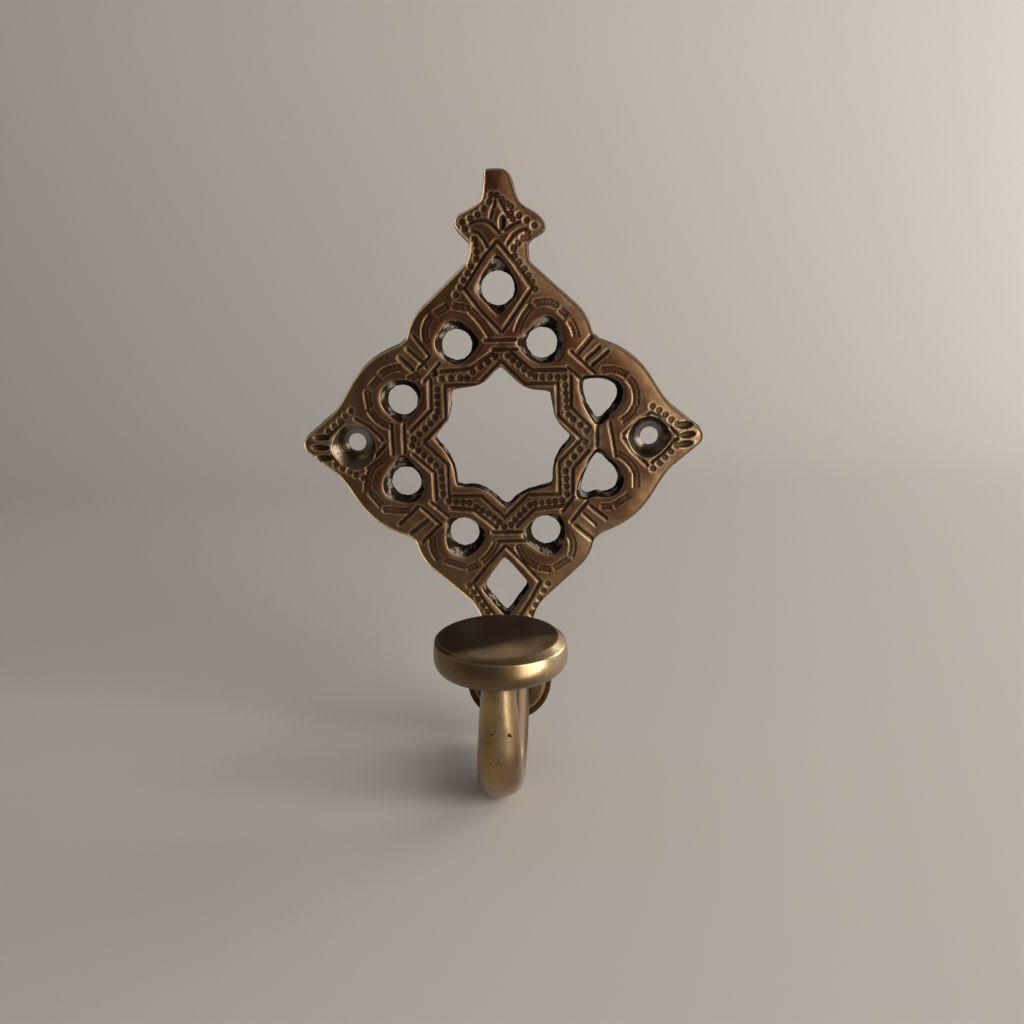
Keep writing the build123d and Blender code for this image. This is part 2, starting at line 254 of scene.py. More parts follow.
# Engraved lines: points and half width
LINES = [
    # Band round the star, outer line
    ([(7.7, 17.2), (15.9, 17.1)], 0.55), ([(17.2, 15.4), (17.1, 7.8)], 0.55),
    ([(2.6, 21.7), (7.7, 17.2)], 0.5), ([(17.1, 7.8), (21.8, 2.9)], 0.5),
    ([(-7.6, 17.9), (-14.8, 17.4)], 0.5), ([(-17.4, 15.6), (-17.5, 8)], 0.55),
    ([(-2, 21.4), (-7.6, 17.9)], 0.5), ([(-17.5, 8), (-22.8, 2.8)], 0.5),
    ([(7.5, -17.6), (15.4, -16.9)], 0.5), ([(17.2, -13.6), (17.3, -7.6)], 0.55),
    ([(3, -22), (7.5, -17.6)], 0.5), ([(17.3, -7.6), (21.4, -3)], 0.5),
    ([(-7.7, -17.6), (-13.4, -16.9)], 0.5), ([(-17.2, -14.6), (-17.3, -7.8)], 0.55),
    ([(-2.2, -22.2), (-7.7, -17.6)], 0.5), ([(-17.3, -7.8), (-22.4, -3)], 0.5),
    # Links from the star to the diamonds and to the screw holes
    ([(-3.6, 24.7), (3.9, 24.7)], 0.45), ([(-1.8, 22.4), (4.1, 22.4)], 0.45),
    ([(-3.1, -23.4), (4.3, -23.5)], 0.45), ([(-2, -25.8), (5.2, -25.7)], 0.45),
    ([(23.6, 3.5), (23.5, -2.4)], 0.5), ([(26.7, 3.9), (28.1, -4.6)], 0.45),
    ([(-24.4, 5.1), (-24.5, -2.6)], 0.5), ([(-27.5, 4.6), (-27.4, -2.8)], 0.5),
    # Frames of the diamonds
    ([(-0.1, 48), (-3.2, 44.6), (-8.2, 37.2)], 0.5), ([(0.2, 47.9), (4.4, 42.6), (8.2, 37)], 0.55),
    ([(-8.2, 37.2), (-4.6, 32), (0.2, 26.8)], 0.5), ([(8.2, 37), (4.8, 32.2), (0.8, 26.7)], 0.5),
    ([(-0.2, -27), (-4.6, -31.8), (-8.6, -36.7)], 0.5),
    ([(0.2, -27.1), (4.8, -32), (8.7, -36.6)], 0.5),
    ([(-8.6, -36.7), (-5.6, -42), (-2.6, -46.4)], 0.5),
    ([(8.7, -36.6), (5.9, -41.6), (2.9, -46.2)], 0.5),
    # Frames of the screw holes
    ([(29.9, 0.9), (33.2, 4), (36.6, 6.1)], 0.4), ([(36.9, 6), (39.2, 5)], 0.4),
    ([(41.6, 2.2), (43.4, 0.3)], 0.5), ([(43.3, -0.4), (41.8, -1.6), (40.2, -3.6), (36.9, -6.4)], 0.5),
    ([(30, 0), (32.2, -3.2), (35.9, -7)], 0.5), ([(-36.4, 6.2), (-33, 4.2), (-30, 1)], 0.5),
    ([(-29.2, -0.4), (-32.6, -4), (-34.3, -6)], 0.5),
    ([(-43.8, 1.6), (-42.6, 2.8), (-39.4, 5.6)], 0.45), ([(-43.2, -3), (-41.4, -5)], 0.4),
    # Combs of three cuts in the waists, and the lines across them
    ([(19, 21), (22.4, 24.8)], 0.6), ([(21, 19.5), (24.3, 22.4)], 0.5),
    ([(22.4, 18), (26.3, 21.3)], 0.5), ([(17.3, 21.5), (23.1, 16.1)], 0.45),
    ([(16.5, 17.6), (19.6, 14.8)], 0.45), ([(-21, 26.2), (-17.3, 21.3)], 0.5),
    ([(-22.6, 23), (-19.2, 19.8)], 0.5), ([(-24.6, 21), (-21.5, 18)], 0.65),
    ([(-17.5, 20.9), (-20.4, 18.1)], 0.4), ([(-19.2, 19.9), (-18, 18.5)], 0.4),
    ([(-14.9, 19.4), (-18.9, 15)], 0.45), ([(21.6, -17), (25.6, -20.4)], 0.55),
    ([(19.9, -18.9), (23, -22)], 0.45), ([(17.8, -22), (21.9, -25.6)], 0.6),
    ([(21, -15.9), (16.8, -21)], 0.5), ([(17.4, -14.7), (14.6, -18.4)], 0.5),
    ([(-21.8, -16.4), (-26.7, -20.9)], 0.5), ([(-19.6, -20), (-23.9, -23.4)], 0.6),
    ([(-16.9, -21.6), (-21, -25.6)], 0.5), ([(-20.9, -16.6), (-16.2, -21.1)], 0.5),
    ([(-18.4, -15.4), (-14.2, -19)], 0.45),
    # Leaf on the finial
    ([(-0.1, 57.4), (-0.5, 55.8)], 0.45), ([(-0.8, 55.2), (-1.3, 53.4)], 0.45),
    ([(0.9, 57.3), (2.9, 53.6)], 0.5),
    ([(-6.3, 52.3), (-4.4, 52.9), (-2.7, 52.9), (-1.1, 51.9), (0.7, 50)], 0.45),
    ([(5.4, 52.3), (3.9, 51.7), (2.1, 50.5)], 0.45),
    ([(-5.9, 50.6), (-4.3, 50), (-3.2, 48.5), (-2.3, 46.7)], 0.45),
    ([(7, 50.6), (5.4, 50.3), (3.9, 49.3), (2.6, 47.4)], 0.45),
]

# Teardrop gouges: middle, half length, half width and lean in degrees
GOUGES = [
    (45.1, 2.8, 2.1, 0.95, 4), (45.8, 0.4, 2.1, 0.85, 8), (45.3, -1.9, 2, 0.85, 8),
    (-45, 1.7, 2.1, 0.8, -2), (-45.4, -0.8, 2.2, 0.8, -2), (-44.8, -3.5, 2.1, 0.85, -4),
    (1.5, 52.2, 1.8, 0.85, 84), (-16.3, 17, 0.9, 0.8, 45),
]

# Rows of ring punches: points that a row follows, and its count
RING_ROWS = [
    # Star band, from each tip to the corners
    ([(-1.3, 20.7), (-3.1, 19.6), (-7.2, 17), (-8.4, 15.6)], 5), ([(-10, 15.7), (-14.6, 15.6)], 3),
    ([(1.8, 20.8), (4.4, 18.6), (7.2, 16.4)], 5), ([(8.4, 15.6), (15.6, 15.2)], 5),
    ([(15.8, 13.2), (16, 9), (16.4, 6.1)], 5), ([(17.6, 4.9), (20.8, 2)], 3),
    ([(20.4, -0.8), (18.2, -3.8), (16.2, -6.2)], 4), ([(15.5, -8.1), (15.9, -14)], 4),
    ([(14.4, -15.6), (7.7, -16.2)], 5), ([(6.3, -16.7), (4.2, -18.6), (1.4, -21.6)], 5),
    ([(-0.2, -22), (-3.5, -19), (-7.2, -16.8)], 6), ([(-8.8, -15.6), (-14, -15.2)], 4),
    ([(-15.3, -13.2), (-15.8, -7.5)], 4), ([(-16.8, -5.9), (-21, -2.2), (-22.7, -0.8)], 5),
    ([(-22.2, 0.8), (-18.8, 3.7), (-16.6, 6.1)], 5), ([(-15.8, 7.6), (-15.8, 13)], 4),
    # Beside the diamonds
    ([(7.3, 48.6), (3.9, 46)], 2), ([(4.1, 44.4), (6.6, 41.2), (8.9, 36.6)], 6),
    ([(-5, 47.4), (-5, 44)], 3), ([(-6.4, 42.3), (-10.2, 35.7)], 5),
    ([(-9.5, -37.3), (-8.2, -40), (-5.2, -44.4)], 5), ([(10.6, -37.2), (9.3, -39.5), (6.2, -45)], 5),
    # Round the screw holes
    ([(37.1, 7.6), (39, 6.4), (43.1, 3.1)], 5), ([(37.2, -7.9), (39, -6.5), (43.1, -2.3)], 5),
    ([(-37.3, 8.2), (-43.4, 3.2)], 5), ([(-35.3, -8.7), (-39.2, -6.8), (-42, -5.2)], 5),
    # Finial
    ([(-1, 58.6), (0.2, 58.6), (3.6, 55.8), (3.5, 54.4), (3.8, 53)], 7),
    ([(5.4, 53.8), (9.1, 51.4)], 3), ([(7.4, 49.7), (4, 46.4)], 4),
    ([(-1.6, 57.1), (-2.3, 56), (-4.2, 54.2), (-6.2, 53.4), (-8.2, 52.6)], 5),
    ([(-7.6, 51), (-5.3, 48.6)], 2),
]

# Ladder stamps: the points that each follows
LADDERS = [
    [(7.7, 32.2), (5.9, 29.9), (4.6, 27)], [(9, 33.2), (11.2, 33.6), (13.4, 33)],
    [(14.9, 31.6), (16.4, 30.2)], [(17.3, 28.8), (18.2, 27.2), (18.7, 25.4)],
    [(25.1, 16.8), (27.8, 16.8), (30.4, 15.8)], [(31.6, 14.4), (33, 11.8), (33.1, 8.4)],
    [(32.6, 7.4), (31.6, 5.8), (29.8, 4.4)], [(28.6, -3.9), (31, -5.6), (32.7, -8)],
    [(33.2, -9.2), (33.2, -12.4)], [(31, -14.8), (27.6, -17)], [(26.6, -17.3), (24.4, -17.4)],
    [(16.6, -24.8), (17.2, -27), (16.7, -29.8)], [(15.6, -31), (12.4, -33)],
    [(11, -33.3), (8.4, -32.8)], [(7.6, -32.4), (5.2, -30.6), (3.6, -28)],
    [(-2.4, -26.4), (-3.8, -28.8), (-5.8, -30.8)], [(-7.4, -32), (-10, -33)],
    [(-11, -32), (-14, -31), (-15.6, -30.4)], [(-17.4, -29.8), (-18.4, -27.6), (-18.5, -25)],
    [(-24.4, -17.4), (-29.6, -17)], [(-31, -15.8), (-33.2, -13)], [(-34.6, -12.4), (-34.2, -10)],
    [(-33.8, -8.4), (-32.8, -6.2), (-30.8, -4.7)], [(-28.2, 4.3), (-30.4, 5.6), (-32.3, 7.8)],
    [(-32.6, 9), (-33, 12.2)], [(-32, 14), (-30.2, 15.8)], [(-29.4, 17), (-27.4, 18.2), (-24.9, 18.7)],
    [(-22.7, 15.7), (-20.4, 16.7)], [(-18, 25.2), (-18, 28), (-16.7, 30.4)],
    [(-15.4, 31.4), (-12.6, 33)], [(-11, 33.2), (-8, 32.6)], [(-6.4, 31.6), (-4, 28.8), (-2.2, 25.8)],
]

# Casting pits on the front of the stem: middle and radius
PITS = [
    ((1.5, -46.3, -59.6), 0.52), ((1.9, -46.1, -59.9), 0.3), ((-2.4, -46.6, -59.2), 0.3),
    ((-2, -46.6, -59.1), 0.22), ((-1.7, -46.7, -58.4), 0.24), ((-1, -46.8, -65.8), 0.26),
    ((-2.9, -46.5, -66.2), 0.3),
]


def smooth_loop(corners, rounds=2):
    """A closed polygon with its corners cut: each side keeps its points at a quarter and three
    quarters."""
    loop = np.asarray(corners, float)
    for _ in range(rounds):
        ahead = np.roll(loop, -1, axis=0)
        loop = np.stack([0.75 * loop + 0.25 * ahead, 0.25 * loop + 0.75 * ahead], 1).reshape(-1, 2)
    return loop


# Finial's outline at the back, drawn point by point: its tip leans left and its right wing is longer
FINIAL = smooth_loop(
    [(-2.8, 64.6), (-1.8, 65), (0.8, 65), (2.3, 64.8), (3.4, 63.8), (4.1, 62.3), (4.6, 60.5), (5, 58.9),
     (5.5, 57.5), (6.7, 56.2), (8.2, 55.4), (10, 54.3), (11.4, 52.8), (12, 51.4), (11.6, 50), (10.2, 49.1),
     (8.7, 48.4), (7.6, 47.2), (7.2, 44), (0, 38), (-6, 44), (-6.4, 47.2), (-7.7, 48.6), (-9.4, 50.3),
     (-10.2, 51.7), (-10.3, 53.1), (-9.5, 54.5), (-7.6, 55.3), (-5.5, 56.4), (-4.2, 57.2), (-3.4, 58.3),
     (-3.2, 60), (-2.9, 62.6)])

RIMS = [smooth_loop(opening[0]) for opening in OPENINGS.values()]


def step(value, low, high):
    """Smooth rise from 0 at low to 1 at high: 3t^2 - 2t^3."""
    t = np.clip((value - low) / (high - low), 0, 1)
    return t * t * (3 - 2 * t)


def bell(value, width):
    """Bell curve, 1 at zero: e to the minus square of the value over its width."""
    return np.exp(-((value / width) ** 2))


def raise_to(field, at, value):
    """Lifts a field at some places to a value where that is higher."""
    field[at] = np.maximum(field[at], value)


def near(x, z, points, reach):
    """Which points lie in the box round a list of places, grown by a reach."""
    low, high = np.min(points, axis=0) - reach, np.max(points, axis=0) + reach
    return np.nonzero((x > low[0]) & (x < high[0]) & (z > low[1]) & (z < high[1]))[0]


def uneven(x, z, seed, size):
    """Hand unevenness between -1 and 1: five sine waves of about the given length, each in a
    direction and phase of its own."""
    draw = np.random.default_rng(seed)
    total = 0
    for bearing, phase, length in draw.uniform([0, 0, 0.7], [math.pi, 2 * math.pi, 1.4], (5, 3)):
        run = x * math.cos(bearing) + z * math.sin(bearing)
        total = total + np.sin(2 * math.pi * run / (size * length) + phase)
    return total / 5


def circle_field(x, z, cx, cz, radius):
    """Distance from a circle, negative inside: distance from its middle less its radius."""
    return np.hypot(x - cx, z - cz) - radius


def polygon_field(x, z, corners):
    """Distance from a closed polygon, negative inside: the least distance from its sides, with the
    sign set by how many sides a level ray from the point crosses."""
    start = np.asarray(corners, float)
    side = np.roll(start, -1, axis=0) - start
    px = x[:, None] - start[:, 0]
    pz = z[:, None] - start[:, 1]
    share = np.clip((px * side[:, 0] + pz * side[:, 1]) / (side**2).sum(1), 0, 1)
    gap = np.hypot(px - share * side[:, 0], pz - share * side[:, 1]).min(1)
    spans = (pz < 0) != (pz - side[:, 1] < 0)
    rise = np.where(side[:, 1] == 0, 1e-9, side[:, 1])
    crosses = spans & (px < pz * side[:, 0] / rise)
    return np.where(crosses.sum(1) % 2 == 1, -gap, gap)


def join(a, b, radius):
    """Union of two shapes given by distance, with the corner between them filled to a radius."""
    filled = np.hypot(np.maximum(radius - a, 0), np.maximum(radius - b, 0))
    return np.maximum(radius, np.minimum(a, b)) - filled


def outline_field(x, z):
    """Distance from the plate's front outline, negative inside: lobes round the pierced holes, a
    core, side points, straight flanks, the finial and the round lobe, joined with small fillets."""
    ax, az = np.abs(x), np.abs(z)
    inner_x, inner_z, inner_r = INNER_LOBE
    side_x, side_z, side_r = SIDE_LOBE
    core = circle_field(x, z, 0, 0, CORE_RADIUS)
    body = np.minimum(core, circle_field(ax, az, inner_x, inner_z, inner_r))
    flank = np.radians(FLANK_ANGLE)
    flank_line = (ax - inner_x) * np.sin(flank) + (az - inner_z) * np.cos(flank) - inner_r
    flank_foot = (ax - inner_x) * np.cos(flank) - (az - inner_z) * np.sin(flank)
    body = np.minimum(body, np.maximum(flank_line, flank_foot))
    half = np.radians(POINT_HALF_ANGLE)
    past = ax - POINT_X
    point_line = past * np.sin(half) + az * np.cos(half)
    point_tip = np.hypot(past, az)
    point = np.where(past * np.cos(half) > az * np.sin(half), point_tip, point_line) - POINT_ROUND
    point = np.maximum(point, side_x - ax)
    wings = join(circle_field(ax, az, side_x, side_z, side_r), point, WING_FILLET)
    body = join(body, wings, WAIST_FILLET)
    body = join(body, polygon_field(x, z, FINIAL), FINIAL_FILLET)
    neck = np.maximum(ax - NECK_HALF_WIDTH, np.maximum(z - NECK_TOP, NECK_FOOT - z))
    foot = join(circle_field(x, z, 0, LOBE_Z, LOBE_RADIUS), neck, NECK_FILLET)
    return join(body, foot, NECK_FILLET) + DRAFT


def root_field(x, z):
    """Distance from the oval where the arm's fillet meets the lobe, negative inside: how far the
    point is beyond the oval in its own scale, times its smaller half width."""
    return (np.hypot(x / ROOT_WIDTH, (z - LOBE_Z) / ROOT_HEIGHT) - 1) * ROOT_WIDTH


def plate_fields(x, z, far=3.0):
    """Distance of each point inside the plate from every edge, as rows: the outline, the arm's root
    and each opening. Positive is outside the metal. Far from an opening a plain large distance
    does."""
    rows = [outline_field(x, z) + FRONT_EDGE, -root_field(x, z)]
    for rim in RIMS:
        at = near(x, z, rim, far)
        row = np.full(x.shape, -far)
        row[at] = FRONT_EDGE - polygon_field(x[at], z[at], rim)
        rows.append(row)
    return np.array(rows)


def metal_field(x, z):
    """Distance from the nearest edge of the flat front, negative on the metal: the largest of all
    rows."""
    return plate_fields(x, z).max(0)


def slope(field, x, z, reach=0.02):
    """Unit direction in which a field grows fastest, by differences over a short reach."""
    gx = field(x + reach, z) - field(x - reach, z)
    gz = field(x, z + reach) - field(x, z - reach)
    size = np.maximum(np.hypot(gx, gz), 1e-9)
    return gx / size, gz / size


def path_place(x, z, points):
    """Distance from a broken line, how far along it the nearest point lies, and the line's
    length."""
    start = np.asarray(points[:-1], float)
    side = np.asarray(points[1:], float) - start
    length = np.hypot(side[:, 0], side[:, 1])
    before = np.concatenate([[0], np.cumsum(length)[:-1]])
    px = x[:, None] - start[:, 0]
    pz = z[:, None] - start[:, 1]
    share = np.clip((px * side[:, 0] + pz * side[:, 1]) / length**2, 0, 1)
    gap = np.hypot(px - share * side[:, 0], pz - share * side[:, 1])
    nearest = gap.argmin(1)[:, None]
    along = np.take_along_axis(before + share * length, nearest, 1)[:, 0]
    return np.take_along_axis(gap, nearest, 1)[:, 0], along, length.sum()


def star_lines(half):
    """Sides of the eight-pointed star made by two equal squares of the given half side: from each
    tip to the corner between it and the next one."""
    tip = half * math.sqrt(2)
    notch = half * (math.sqrt(2) - 1)
    quarter = [(0, tip), (notch, half), (half, half), (half, notch)]
    turns = ((1, 0), (0, 1), (-1, 0), (0, -1))
    corners = [(x * c + z * s, z * c - x * s) for c, s in turns for x, z in quarter]
    return corners + corners[:1]


def star_size(x, z):
    """Half side of the eight-pointed star whose edge passes through a point: of an upright and a
    turned square the smaller one."""
    ax, az = np.abs(x), np.abs(z)
    return np.minimum(np.maximum(ax, az), (ax + az) / math.sqrt(2))


def ring_places():
    """Places of the ring punches: evenly along each row, each a little off its place."""
    places = []
    for points, count in RING_ROWS:
        corners = np.asarray(points, float)
        run = np.concatenate([[0], np.cumsum(np.hypot(*np.diff(corners, axis=0).T))])
        along = np.linspace(0, run[-1], count)
        places.append(np.stack([np.interp(along, run, part) for part in corners.T], 1))
    places = np.concatenate(places)
    return places + np.random.default_rng(4).uniform(-0.08, 0.08, places.shape)


def stamp_arc(points):
    """Middle line of a ladder stamp: the parabola through its ends and its middle point, which lies
    halfway where none is given, drawn a twelfth longer at each end."""
    first = np.asarray(points[0])
    middle = np.mean(points[1:-1] or points, axis=0)
    last = np.asarray(points[-1])
    share = np.linspace(-1 / 12, 13 / 12, 9)[:, None]
    ends = (2 * share - 1) * ((share - 1) * first + share * last)
    return ends + 4 * share * (1 - share) * middle


def engraving(x, z):
    """How far the front is cut below its surface, and the height of the burr raised beside the
    cuts. A line is a round-bottomed V with a burr outside it; a gouge is half an ellipsoid; a ring
    punch is a ring groove with a boss in its middle; a ladder is a shallow bed with two rails and
    rungs between."""
    cut = np.zeros(x.shape)
    burr = np.zeros(x.shape)
    for points, half in LINES + [(star_lines(STAR_GROOVE), 0.5)]:
        at = near(x, z, points, 2)
        gap = path_place(x[at], z[at], points)[0] + 0.06 * uneven(x[at], z[at], 7, 3)
        raise_to(cut, at, LINE_DEPTH * np.clip(1.08 - gap / half, 0, 1) ** 0.9)
        raise_to(burr, at, LINE_BURR * bell(gap - half - 0.2, 0.2))
    for cx, cz, long, wide, lean in GOUGES:
        at = near(x, z, [(cx, cz)], long + 1)
        turn = math.radians(lean)
        u = (x[at] - cx) * math.cos(turn) + (z[at] - cz) * math.sin(turn)
        v = (z[at] - cz) * math.cos(turn) - (x[at] - cx) * math.sin(turn)
        reach = np.hypot(u / long, v / wide)
        raise_to(cut, at, GOUGE_DEPTH * np.sqrt(np.clip(1 - reach**2, 0, 1)))
        raise_to(burr, at, GOUGE_BURR * bell(reach - 1.22, 0.2))
    for cx, cz in ring_places():
        at = near(x, z, [(cx, cz)], 1.6)
        reach = np.hypot(x[at] - cx, z[at] - cz)
        ring = np.clip(1 - np.abs(reach - PUNCH_RADIUS) / PUNCH_HALF_WIDTH, 0, 1) ** 0.8
        raise_to(cut, at, PUNCH_DEPTH * np.maximum(ring, 0.5 * (reach < PUNCH_RADIUS)))
        raise_to(burr, at, PUNCH_BURR * bell(reach - 1.0, 0.2))
    for points in map(stamp_arc, LADDERS):
        at = near(x, z, points, 2)
        gap, along, length = path_place(x[at], z[at], points)
        inside = (gap < 1.25) & (along > 0) & (along < length)
        bed = np.clip((1.05 - gap) / 0.25, 0, 1)
        rails = np.clip(1 - np.abs(gap - RAIL_PLACE) / RAIL_HALF_WIDTH, 0, 1)
        beat = 0.5 + 0.5 * np.cos(2 * math.pi * along / RUNG_SPACING)
        rungs = np.clip(1 - gap / 0.5, 0, 1) ** 0.5 * beat
        stamped = BED_DEPTH * bed + np.maximum(RAIL_DEPTH * rails, RUNG_DEPTH * rungs)
        raise_to(cut, at, inside * stamped)
        raise_to(burr, at, inside * LADDER_BURR * bell(gap - 1.0, 0.16))
    return cut, burr * (1 - np.clip(cut / 0.12, 0, 1))


def front_relief(x, z):
    """Height of the front over its flat, then how deep it is cut, with the star's band as a shallow
    cut, the height of its burrs, and its nearness to the outline from 0 to 1. The front falls away
    towards the outline and a little towards each opening, both as the square of the nearness; sinks
    in the star's band; is cut by the engraving; and rolls a little as hand-finished castings do."""
    cut, burr = engraving(x, z)
    on_lobe = step(z, LOBE_FROM, LOBE_BY)
    width = PILLOW_WIDTH + on_lobe * (LOBE_EDGE - PILLOW_WIDTH)
    drop = PILLOW_DROP + on_lobe * (LOBE_DROP - PILLOW_DROP)
    outer = 1 - np.clip(-(outline_field(x, z) + FRONT_EDGE) / width, 0, 1)
    rim = np.clip(1 + plate_fields(x, z)[FIRST_OPENING:].max(0) / RIM_WIDTH, 0, 1)
    into_band = star_size(x, z) - STAR_GROOVE
    band = step(into_band, 0, BAND_EDGE) * step(into_band, BAND_WIDTH, BAND_WIDTH - BAND_EDGE)
    roll = 0.06 * uneven(x, z, 1, 11) + 0.03 * uneven(x, z, 2, 3.5)
    fall = drop * outer**2 + RIM_DROP * rim**2 + BAND_DROP * band
    return roll + burr - cut - fall, cut + BAND_DIRT * band, burr, outer


def front_grid():
    """Square cells over the flat front, with the vertices of its edges moved on to the true edges:
    a cell stays if its middle is on metal, and an edge vertex goes down the field's slope to where
    it is zero."""
    across = np.arange(-GRID_SIDE, GRID_SIDE + GRID, GRID)
    up = np.arange(GRID_BOTTOM, GRID_TOP + GRID, GRID)
    x, z = (part.ravel() for part in np.meshgrid(across, up))
    columns = len(across)
    mid_x, mid_z = (part.ravel() for part in np.meshgrid(across[:-1] + GRID / 2, up[:-1] + GRID / 2))
    first = (np.arange(len(up) - 1)[:, None] * columns + np.arange(columns - 1)).ravel()
    kept = first[metal_field(mid_x, mid_z) < 0]
    quads = np.stack([kept, kept + 1, kept + 1 + columns, kept + columns], 1)
    used, quads = np.unique(quads, return_inverse=True)
    quads = quads.reshape(-1, 4)
    x, z = x[used], z[used]
    edges = np.stack([quads, np.roll(quads, -1, axis=1)], 2).reshape(-1, 2)
    size = len(x)
    keys = edges[:, 0] * size + edges[:, 1]
    rim = edges[~np.isin(keys, edges[:, 1] * size + edges[:, 0])]
    at = np.unique(rim)
    for _ in range(3):
        gx, gz = slope(metal_field, x[at], z[at])
        miss = np.clip(metal_field(x[at], z[at]), -GRID, GRID)
        x[at] -= miss * gx
        z[at] -= miss * gz
    return x, z, quads, rim, at


def wall_rows(x, z, relief, steps=8):
    """Rows of the walls behind the front's edges, from the rounded edge to the back, and which edge
    each place belongs to: first a quarter circle out of the front, then straight towards the shape
    that the edge has at the back, which is filed a little unevenly in the pierced openings."""
    kind = plate_fields(x, z).argmax(0)
    nx, nz = slope(metal_field, x, z)
    out = BROW_REACH * FRONT_EDGE
    brow_x, brow_z = x + out * nx, z + out * nz
    back_x, back_z = x.copy(), z.copy()
    for _ in range(steps):
        gx, gz = slope(outline_field, back_x, back_z)
        back_x += (FRONT_EDGE + DRAFT) / steps * gx
        back_z += (FRONT_EDGE + DRAFT) / steps * gz
    reach = np.ones(x.shape)
    for index, (_, (cx, cz), back) in enumerate(OPENINGS.values(), FIRST_OPENING):
        at = kind == index
        away = np.hypot(brow_x[at] - cx, brow_z[at] - cz)
        scale = back / away if back > 1 else back
        if index < FIRST_SCREW:
            filed = 0.08 * uneven(brow_x[at], brow_z[at], 11, 1.7)
            filed = filed + 0.1 * uneven(brow_x[at], brow_z[at], 12, 4)
            scale = scale + filed / away
        back_x[at] = cx + (brow_x[at] - cx) * scale
        back_z[at] = cz + (brow_z[at] - cz) * scale
        reach[at] = FUNNEL_DEPTH / THICKNESS if back > 1 else 1
    rows = []
    for turn in (math.pi / 4, math.pi / 2):
        side = out * math.sin(turn)
        drop = FRONT_EDGE * (1 - math.cos(turn))
        y = -(THICKNESS - drop + relief * math.cos(turn) ** 2)
        rows.append((x + side * nx, y, z + side * nz))
    for depth in (BROW_DEPTH, FUNNEL_DEPTH / THICKNESS, 1.0):
        share = np.minimum(1, depth / reach)
        y = np.full(x.shape, -(1 - depth) * (THICKNESS - FRONT_EDGE))
        rows.append((brow_x + share * (back_x - brow_x), y, brow_z + share * (back_z - brow_z)))
    return np.array(rows).transpose(0, 2, 1), kind


def disc_rows(angle):
    """Rings of the stem's top and the disc at the given angles, from the stem to the disc's middle,
    each with how far it is rubbed bright or painted with a highlight: a fillet, the underside, a large
    round edge, a side that draws in a little upwards, a filed bevel that is widest at the front right,
    and a nearly flat top that leans forward. Hands rub the top of the side, the two edges of the bevel
    and the rim of the top, most at the front right, where these bright marks are also painted
    highlights; and a broad painted highlight lies over the round edge, the side and the bevel at the
    front right."""
    bevel = BEVEL + BEVEL_SWING * np.cos(angle - FRONT_RIGHT)
    ridge = DISC_TOP - DISC_DOME
    brow = ridge - BEVEL_SLOPE * bevel
    side_foot = DISC_BOTTOM + DISC_ROUND
    side_top = DISC_RADIUS - DISC_DRAW
    front = np.clip(0.5 + 0.6 * np.cos(angle + 1), 0, 1)
    # Broad painted highlight at the front right, where the window lamp's reflection falls
    painted_highlight = 1.5 * bell(angle - FRONT_RIGHT, 0.45)
    rings = []
    for turn in np.linspace(0, math.pi / 2, 6):
        radius = STEM_RADIUS + STEM_FILLET * (1 - math.cos(turn))
        rings.append((radius, DISC_BOTTOM - STEM_FILLET * (1 - math.sin(turn)), 0))
    for radius in np.linspace(*UNDERSIDE, 5):
        rings.append((radius, DISC_BOTTOM, 0))
    for turn in np.linspace(0.1, math.pi / 2, 12):
        radius = DISC_RADIUS - DISC_ROUND * (1 - math.sin(turn))
        height = DISC_BOTTOM + DISC_ROUND * (1 - math.cos(turn))
        rings.append((radius, height, painted_highlight * step(turn, 0.7, 1.5)))
    for share in (0.3, 0.6, 0.85, 0.96):
        wear_and_highlight = np.maximum(painted_highlight, 0.5 * front * (share > 0.9))
        height = side_foot + share * (brow - side_foot)
        rings.append((DISC_RADIUS - DISC_DRAW * share**2, height, wear_and_highlight))
    for share, wear_and_highlight in ((0.04, 0.7), (0.15, 0.1), (0.5, 0), (0.85, 0.1), (0.96, 0.7)):
        wear_and_highlight = np.maximum(painted_highlight, wear_and_highlight * front)
        rings.append((side_top - share * bevel, brow + share * (ridge - brow), wear_and_highlight))
    for share in (0.99, 0.96, *np.linspace(0.91, 0.02, 18)):
        wear_and_highlight = 0.6 * front * (share > 0.98)
        rings.append((share * (side_top - bevel), DISC_TOP - DISC_DOME * share**4, wear_and_highlight))
    rows = []
    for radius, height, wear_and_highlight in rings:
        out = radius * (1 - 0.003 * (1 + np.sin(3 * angle + 0.7)))
        y = np.sin(angle) * out
        lean = DISC_LEAN * y * np.clip((height - side_foot) / (ridge - side_foot), 0, 1)
        rows.append((np.cos(angle) * out, y - REACH, height + lean, wear_and_highlight + 0 * angle))
    return rows


